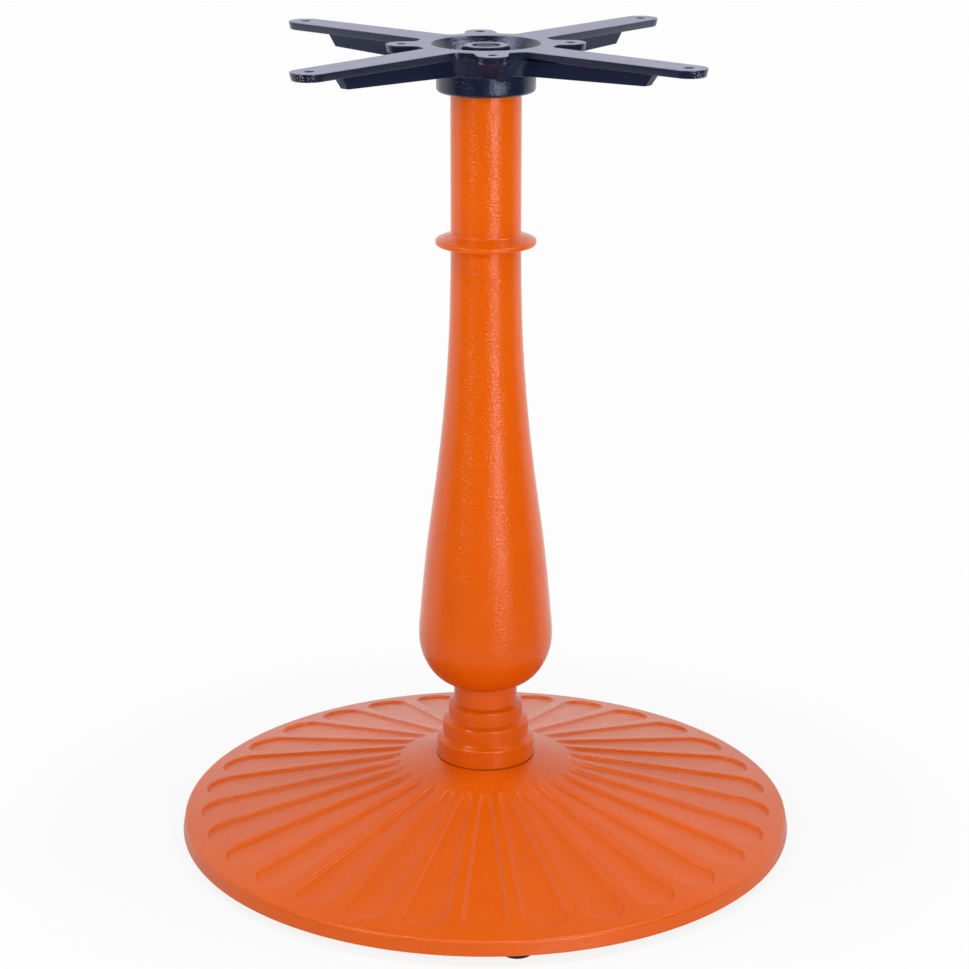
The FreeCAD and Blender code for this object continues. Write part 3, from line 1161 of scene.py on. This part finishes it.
def foot_place(side: Side, at_r: float, turn_deg: float) -> Matrix:
    """Where a levelling foot's axis stands.

    Args:
        side: which foot.
        at_r: distance from the column's axis, in millimetres.
        turn_deg: how far the base is turned.

    Returns:
        The placement matrix.
    """
    turn = Matrix.Rotation(math.radians(turn_deg + 90.0 * side.value), 4, "Z")
    return turn @ Matrix.Translation((at_r * MM, 0.0, 0.0))


@dataclass
class TurnedColumn:
    """The hollow column: stepped foot, neck, bulb and vase, ring collar and tube. Millimetres."""

    lathe: LatheTree
    coat: bpy.types.Material
    seat_z: float = CONE_APEX_Z - CONE_SLOPE * SEAT_R
    foot_r: float = 44.0
    foot_edge: float = 1.2
    steps: tuple[tuple[float, float], ...] = ((44.0, 90.7), (39.1, 108.1), (33.7, 123.1))
    step_rise: float = 2.5
    step_rounds: tuple[float, float] = (2.0, 0.6)
    neck_r: float = 28.5
    neck_gap: float = 1.0
    neck_top_z: float = 143.2
    bulb: tuple[tuple[float, float], ...] = (
        (41.0, 149.3), (49.8, 158.0), (55.5, 168.0), (58.9, 178.5), (60.0, 190.0))
    vase: tuple[tuple[float, float], ...] = (
        (58.8, 211.0), (53.2, 268.0), (44.2, 336.0), (36.8, 402.0), (32.3, 467.0))
    tube_r: float = 30.5
    tube_wall: float = 6.5
    ring_r: float = 43.7
    ring_z: tuple[float, float, float] = (547.3, 551.5, 557.0)
    ring_rounds: tuple[float, float, float, float] = (1.0, 1.6, 1.8, 2.0)
    ring_gaps: tuple[float, float] = (2.0, 1.8)
    top_z: float = 693.5
    top_edge: float = 0.5
    support: float = 0.35
    bore_r: float = 21.5
    segments: int = 160

    def line(self) -> list[Vector]:
        """The column's whole profile, outside and in.

        Returns:
            Points in metres.
        """
        foot: list[Point] = [(self.bore_r, self.seat_z, 0), (self.foot_r, self.seat_z, self.foot_edge)]
        inner_rs = [radius for radius, _ in self.steps[1:]] + [self.neck_r]
        for (radius, height), inner_r in zip(self.steps, inner_rs):
            foot.append((radius, height, self.step_rounds[0]))
            foot.append((inner_r, height + self.step_rise, self.step_rounds[1]))
        foot.append((self.neck_r, self.neck_top_z - self.neck_gap, 0))
        bottom, edge, top = self.ring_z
        body_end = (self.tube_r, bottom - self.ring_gaps[0])
        body = ((self.neck_r, self.neck_top_z),) + self.bulb + self.vase + (body_end,)
        upper = rounded([
            (self.tube_r, bottom - self.ring_gaps[1], 0),
            (self.tube_r, bottom, self.ring_rounds[0]),
            (self.ring_r, bottom, self.ring_rounds[1]),
            (self.ring_r, edge, self.ring_rounds[2]),
            (self.tube_r, top, self.ring_rounds[3]),
            (self.tube_r, self.top_z, self.top_edge),
            (self.tube_r - self.tube_wall, self.top_z, self.top_edge),
            (self.tube_r - self.tube_wall, self.vase[-1][1], 0),
            (self.bulb[-1][0] - self.tube_wall, self.bulb[-1][1], 0),
            (self.bore_r, self.neck_top_z + 2 * self.tube_wall, 0),
            (self.bore_r, self.seat_z, 0),
        ], support=self.support)
        return rounded(foot, support=self.support) + smooth_line(body) + upper

    def build(self) -> bpy.types.Object:
        """Makes the column.

        Returns:
            The piece that stands for column.
        """
        mesh = turned(self.lathe, "turned_column", self.line(), self.segments, self.coat)
        return show("turned_column", mesh, STAND, Slot.ORANGE_COAT, "column")


@dataclass
class TopSpider:
    """The ribbed spider that carries the table top, with its edges softened as a casting's are. Metres."""

    solid: bpy.types.Object
    paint: bpy.types.Material
    weld: float = 0.01 * MM
    edge: float = 0.8 * MM
    edge_steps: int = 2
    edge_angle_deg: float = 50.0
    flat_angle_deg: float = 0.5
    sharp_angle_deg: float = 18.0

    def build(self) -> bpy.types.Object:
        """Makes the spider from a copy of its solid.

        Returns:
            The piece that stands for top_spider.
        """
        mesh = self.solid.data.copy()
        mesh.materials.clear()
        mesh.materials.append(self.paint)
        work = bmesh.new()
        work.from_mesh(mesh)
        bmesh.ops.remove_doubles(work, verts=work.verts, dist=self.weld)
        bmesh.ops.dissolve_limit(
            work, angle_limit=math.radians(self.flat_angle_deg), verts=work.verts, edges=work.edges)
        work.to_mesh(mesh)
        work.free()
        carrier = placed("spider_carrier", mesh)
        bevel = carrier.modifiers.new("soft_edges", "BEVEL")
        bevel.width = self.edge
        bevel.segments = self.edge_steps
        bevel.limit_method = "ANGLE"
        bevel.angle_limit = math.radians(self.edge_angle_deg)
        bevel.use_clamp_overlap = False
        bevel.loop_slide = False
        cast = evaluated_mesh(carrier, "cast_spider")
        bpy.data.objects.remove(carrier)
        cast.shade_smooth()
        return show(
            "cast_spider", cast, STAND, Slot.BLACK_PAINT, "top_spider", sharp_deg=self.sharp_angle_deg)


@dataclass
class TieRod:
    """The rod through the column with its nuts and washers. Millimetres."""

    lathe: LatheTree
    nodes: dict[str, bpy.types.Object]
    paint: bpy.types.Material
    black: bpy.types.Material
    zinc: bpy.types.Material
    radius: float = 11.95
    shank_r: float = 11.0
    thread: float = 60.0
    chamfer: float = 3.0
    pitch: float = 3.0
    depth: float = 1.5
    rows_per_pitch: int = 8
    segments: int = 48

    def rod_line(self, low: float, high: float) -> list[Vector]:
        """The rod's profile, close-set where the threads are.

        Args:
            low: height of the lower end.
            high: height of the upper end.

        Returns:
            Points in metres.
        """
        rows = int(self.thread / self.pitch * self.rows_per_pitch)
        heights = np.linspace(self.chamfer, self.thread, rows)
        lower = [Vector((0, 0, low)), Vector((self.radius - self.chamfer, 0, low))]
        lower += [Vector((self.radius, 0, low + height)) for height in heights]
        lower.append(Vector((self.shank_r, 0, low + self.thread + self.chamfer)))
        upper = [Vector((point.x, 0, low + high - point.z)) for point in reversed(lower)]
        return [point * MM for point in lower + upper]

    def build(self) -> None:
        """Makes the rod and dresses the nuts and washers, which keep their solids."""
        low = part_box("tie_rod")[0].z / MM
        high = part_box("tie_rod")[1].z / MM
        half = (high - low) / 2
        mesh = turned(
            self.lathe, "threaded_rod", self.rod_line(low, high), self.segments, self.black,
            depth=self.depth * MM, pitch=self.pitch * MM, middle=(low + half) * MM,
            start=(half - self.thread) * MM, end=(half - self.chamfer) * MM)
        show("threaded_rod", mesh, STAND, Slot.BLACK_STEEL, "tie_rod")
        dress(self.nodes["top_nut"], self.paint)
        dress(self.nodes["top_washer"], self.black)
        for name in ("bottom_washer", "bottom_nut"):
            dress(self.nodes[name], self.zinc)


def dress(node: bpy.types.Object, material: bpy.types.Material) -> None:
    """Gives a solid that stays in view its finish.

    Args:
        node: the solid.
        material: the finish.
    """
    node.data.materials.clear()
    node.data.materials.append(material)
    LOG.info("%s keeps its solid", node.name)


@dataclass
class LevellingFoot:
    """One screw foot: a nylon pad on a threaded stud. Millimetres."""

    side: Side
    lathe: LatheTree
    nylon: bpy.types.Material
    zinc: bpy.types.Material
    turn_deg: float = BASE_TURN_DEG
    at_r: float = FOOT_AT_R
    pad_r: float = 14.0
    pad_draft: float = 0.6
    sole: float = 2.4
    crown: float = 1.6
    top_r: float = 10.5
    top_z: float = 9.6
    stud_r: float = 5.0
    stud_z: tuple[float, float] = (3.0, 20.6)
    stud_chamfer: float = 1.2
    pitch: float = 1.5
    depth: float = 0.75
    rows_per_pitch: int = 8
    pad_rounds: tuple[float, float, float, float] = (0.7, 0.8, 0.9, 0.5)
    pad_support: float = 0.2
    pad_segments: int = 64
    stud_segments: int = 40

    def pad_line(self) -> list[Vector]:
        """The pad's profile, with a blind hole for the stud."""
        return rounded([
            (0, 0, 0),
            (self.pad_r - self.pad_draft, 0, self.pad_rounds[0]),
            (self.pad_r, self.sole, self.pad_rounds[1]),
            (self.pad_r, self.top_z - self.crown, self.pad_rounds[2]),
            (self.top_r, self.top_z, self.pad_rounds[3]),
            (self.stud_r, self.top_z, 0),
            (self.stud_r, self.stud_z[0], 0),
            (0, self.stud_z[0], 0),
        ], support=self.pad_support)

    def stud_line(self) -> list[Vector]:
        """The stud's profile, close-set where the thread is.

        Returns:
            Points in metres.
        """
        low, high = self.stud_z
        rows = int((high - low) / self.pitch * self.rows_per_pitch)
        line = [Vector((0, 0, low))]
        line += [Vector((self.stud_r, 0, z)) for z in np.linspace(low, high - self.stud_chamfer, rows)]
        line += [Vector((self.stud_r - self.stud_chamfer, 0, high)), Vector((0, 0, high))]
        return [point * MM for point in line]

    def build(self) -> None:
        """Makes the pad and the stud, on the foot's own body."""
        label = self.side.name.lower()
        body = "foot_" + label
        place = foot_place(self.side, self.at_r, self.turn_deg)
        pad = turned(self.lathe, "pad_" + label, self.pad_line(), self.pad_segments, self.nylon)
        pad.transform(place)
        show("pad_" + label, pad, body, Slot.NYLON, "foot_pad_" + label)
        low, high = self.stud_z
        stud = turned(
            self.lathe, "stud_" + label, self.stud_line(), self.stud_segments, self.zinc,
            depth=self.depth * MM, pitch=self.pitch * MM, middle=low * MM,
            start=-self.pitch * MM, end=(high - low) * MM)
        stud.transform(place)
        show("stud_" + label, stud, body, Slot.ZINC_STEEL, "foot_stud_" + label)


@dataclass(frozen=True)
class Lamp:
    """A soft box: where it stands, where it points and how bright it is. Metres and watts."""

    name: str
    at: Point
    aim: Point
    size: tuple[float, float]
    power: float

    def build(self) -> None:
        """Hangs the lamp."""
        light = bpy.data.lights.new(self.name, "AREA")
        light.shape = "RECTANGLE"
        light.size, light.size_y = self.size
        light.energy = self.power
        lamp = placed(self.name, light)
        lamp.location = self.at
        lamp.rotation_mode = "QUATERNION"
        lamp.rotation_quaternion = (Vector(self.aim) - Vector(self.at)).to_track_quat("-Z", "Y")


@dataclass
class Studio:
    """Camera, floor, surroundings and soft boxes. Metres unless a name says otherwise."""

    camera_at: Point = (-0.1615, -2.2222, 1.0324)
    pitch_deg: float = 17.507
    heading_deg: float = -4.13
    roll_deg: float = 0.05
    lens_mm: float = 97.79
    sensor_mm: float = 36.0
    floor_r: float = 0.55
    floor_segments: int = 96
    floor_colour: Colour = (0.82, 0.82, 0.82, 1.0)
    floor_white: float = 0.88
    floor_fade: tuple[float, float] = (0.28, 0.95)
    white: float = 0.985
    bounce: float = 1.0
    sweep_left: float = -0.12
    sweep_shift: float = 0.26
    sweep_full: float = 0.22
    sweep_top: tuple[float, float] = (0.56, 0.72)
    sweep_dark: float = 0.03
    sweep_bright: float = 0.95
    ground: tuple[float, float] = (-0.08, 0.02)
    lamps: tuple[Lamp, ...] = (
        Lamp("key", (0.81, -1.82, 0.74), (0.0, 0.0, 0.53), (0.74, 1.3), 19.5),
        Lamp("fill", (-1.55, -1.35, 1.05), (0.0, 0.0, 0.40), (0.5, 0.8), 9.0),
        Lamp("front", (-0.10, -1.90, 1.60), (0.0, 0.0, 0.20), (0.6, 0.25), 9.5),
        Lamp("top_left", (-0.75, -0.25, 2.2), (0.0, -0.10, 0.0), (0.30, 1.3), 11.0),
        Lamp("top_right", (0.75, -0.25, 2.2), (0.0, -0.10, 0.0), (0.30, 1.3), 11.0),
        Lamp("spark_left", (-1.0, 0.10, 2.15), (0.15, -0.07, 0.05), (0.3, 0.3), 5.5),
        Lamp("spark_right", (1.0, 0.10, 2.15), (-0.15, -0.07, 0.05), (0.3, 0.3), 5.5),
    )

    def camera(self) -> None:
        """Sets the camera where the photograph was taken from."""
        data = bpy.data.cameras.new("camera")
        data.lens = self.lens_mm
        data.sensor_width = self.sensor_mm
        camera = placed("camera", data)
        heading = Matrix.Rotation(math.radians(self.heading_deg), 4, "Z")
        tilt = Matrix.Rotation(math.radians(90.0 - self.pitch_deg), 4, "X")
        roll = Matrix.Rotation(math.radians(self.roll_deg), 4, "Z")
        camera.matrix_world = Matrix.Translation(self.camera_at) @ heading @ tilt @ roll
        bpy.context.scene.camera = camera

    def floor(self) -> None:
        """Lays a pale round floor that keeps a soft shadow."""
        material, graph = new_material("floor")
        matte = graph.node("ShaderNodeBsdfDiffuse", inputs={"Color": self.floor_colour})
        glow = graph.node("ShaderNodeEmission", inputs={"Strength": self.white})
        x, y, _ = graph.parts(graph.node("ShaderNodeTexCoord", output="Object"))
        fade_from, fade_to = self.floor_fade
        far = graph.ramp(graph.away(x, y), fade_from, self.floor_r * fade_to, smooth=True)
        seen = graph.node("ShaderNodeLightPath", output="Is Camera Ray")
        share = seen * (self.floor_white + far * (1 - self.floor_white))
        mixed = graph.node("ShaderNodeMixShader", inputs={0: share, 1: matte, 2: glow})
        graph.end("ShaderNodeOutputMaterial", mixed)
        mesh = bpy.data.meshes.new("floor")
        work = bmesh.new()
        bmesh.ops.create_circle(work, cap_ends=True, radius=self.floor_r, segments=self.floor_segments)
        work.to_mesh(mesh)
        work.free()
        mesh.materials.append(material)
        floor = placed("floor", mesh)

    def surroundings(self) -> None:
        """A white sweep behind and beside the object, dark above and on the camera's side."""
        world = bpy.data.worlds.new("studio")
        bpy.context.scene.world = world
        world.use_nodes = True
        world.cycles.sampling_method = "NONE"
        world.node_tree.nodes.clear()
        graph = Graph(world.node_tree)
        x, y, z = graph.parts(graph.node("ShaderNodeTexCoord", output="Generated"))
        behind = graph.ramp(
            y, (x > 0) * self.sweep_shift + self.sweep_left, self.sweep_full, smooth=True)
        low = 1 - graph.ramp(z, *self.sweep_top, smooth=True)
        level = self.sweep_dark + behind * low * self.sweep_bright
        seen = graph.node("ShaderNodeLightPath", output="Is Camera Ray")
        below = 1 - graph.ramp(z, *self.ground)
        lit = level + (self.bounce - level) * below * (1 - seen.sibling("Is Glossy Ray"))
        shown = lit + (self.white - lit) * seen
        light = graph.node("ShaderNodeBackground", inputs={"Color": (1.0, 1.0, 1.0, 1.0), "Strength": shown})
        graph.end("ShaderNodeOutputWorld", light)

    def build(self) -> None:
        """Sets up the whole studio."""
        bpy.context.scene.view_settings.view_transform = "Standard"
        self.camera()
        self.floor()
        self.surroundings()
        for lamp in self.lamps:
            lamp.build()


def main() -> None:
    """Builds the object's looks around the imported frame."""
    logging.basicConfig(level=logging.INFO, format="%(name)s: %(message)s")
    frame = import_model()
    column_coat = PowderCoat(
        "column_coat", peel=2.3 * MM, peel_height=0.42 * MM, grit=0.7 * MM, grit_height=0.02 * MM,
        gloss=0.11, squat=1.6, calm_below=130 * MM).material()
    # The base coat's seam_r puts a ring of painted shade where the column's foot sits on the base.
    base_coat = PowderCoat(
        "base_coat", peel=1.6 * MM, peel_height=0.36 * MM, grit=0.6 * MM, grit_height=0.03 * MM,
        gloss=0.19, seam_r=44.4 * MM).material()
    # Both black paints colour their top faces lighter as a painted sheen; the nut's follows the nut's own
    # top.
    paint = BlackPaint().material()
    nut_paint = BlackPaint("nut_paint", top_z=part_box("top_nut")[1].z).material()
    black = Steel(
        "blackened_steel", colour=(0.014, 0.015, 0.026, 1.0), dull=(0.030, 0.030, 0.042, 1.0),
        metal=0.0, gloss=0.50, shine=0.12).material()
    zinc = Steel(
        "zinc_steel", colour=(0.56, 0.57, 0.59, 1.0), dull=(0.42, 0.43, 0.44, 1.0),
        metal=1.0, gloss=0.36).material()
    nylon = Nylon().material()
    lathe = LatheTree()
    FlutedBase(lathe, base_coat).build()
    TurnedColumn(lathe, column_coat).build()
    TopSpider(frame["nodes"]["top_spider"], paint).build()
    TieRod(lathe, frame["nodes"], nut_paint, black, zinc).build()
    for side in Side:
        LevellingFoot(side, lathe, nylon, zinc).build()
    Studio().build()


if __name__ == "__main__":
    main()
